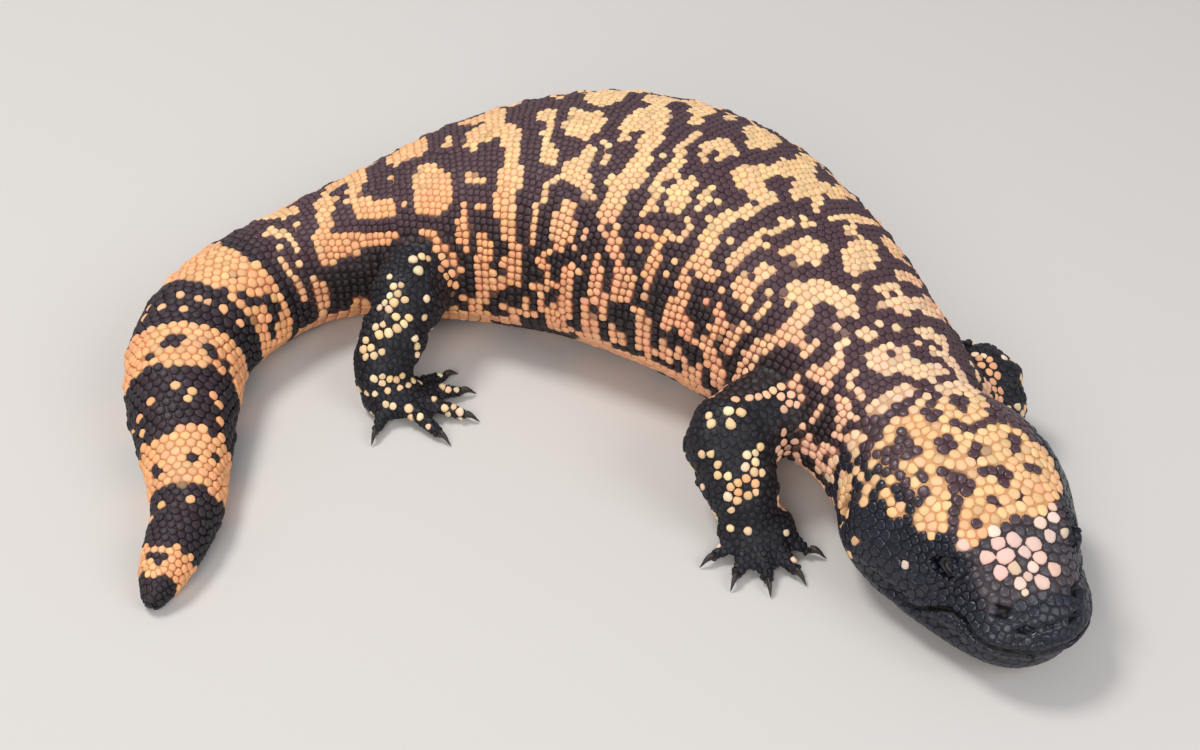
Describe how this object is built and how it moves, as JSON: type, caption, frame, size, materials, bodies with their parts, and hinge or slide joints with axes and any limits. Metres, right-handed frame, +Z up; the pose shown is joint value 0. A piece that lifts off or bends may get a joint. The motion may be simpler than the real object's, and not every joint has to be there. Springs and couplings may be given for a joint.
{
  "type": "gila monster figure",
  "caption": "Life-size still model of a gila monster resting on all fours in a C-shaped curve, with a beaded black and salmon hide and a fat banded tail.",
  "frame": {"origin": "centre of the bounding box, at the floor the animal lies on", "axes": "+X across the C from the tail to the head, +Y away from the open side of the C, +Z up"},
  "size_m": [0.2526, 0.2307, 0.0623],
  "materials": {
    "body_hide": "beaded hide, salmon to cream with near-black bands",
    "head_hide": "plated hide, cream crown and glossy black face",
    "limb_hide": "beaded hide, black with pale beads",
    "claw": "dark horn, satin",
    "eye": "wet black"
  },
  "bodies": {
    "root": {"eye_left": "eye", "eye_right": "eye", "head": "head_hide", "hips": "body_hide", "left_foot": "limb_hide", "left_foot_claw_1": "claw", "left_foot_claw_2": "claw", "left_foot_claw_3": "claw", "left_foot_claw_4": "claw", "left_foot_claw_5": "claw", "left_forearm": "limb_hide", "left_hand": "limb_hide", "left_hand_claw_1": "claw", "left_hand_claw_2": "claw", "left_hand_claw_3": "claw", "left_hand_claw_4": "claw", "left_hand_claw_5": "claw", "left_shank": "limb_hide", "left_thigh": "limb_hide", "left_upper_arm": "limb_hide", "neck": "body_hide", "right_foot": "limb_hide", "right_foot_claw_1": "claw", "right_foot_claw_2": "claw", "right_foot_claw_3": "claw", "right_foot_claw_4": "claw", "right_foot_claw_5": "claw", "right_forearm": "limb_hide", "right_hand": "limb_hide", "right_hand_claw_1": "claw", "right_hand_claw_2": "claw", "right_hand_claw_3": "claw", "right_hand_claw_4": "claw", "right_hand_claw_5": "claw", "right_shank": "limb_hide", "right_thigh": "limb_hide", "right_upper_arm": "limb_hide", "shoulders": "body_hide", "tail_middle": "body_hide", "tail_root": "body_hide", "tail_tip": "body_hide", "torso_front": "body_hide", "torso_rear": "body_hide"}
  },
  "joints": []
}
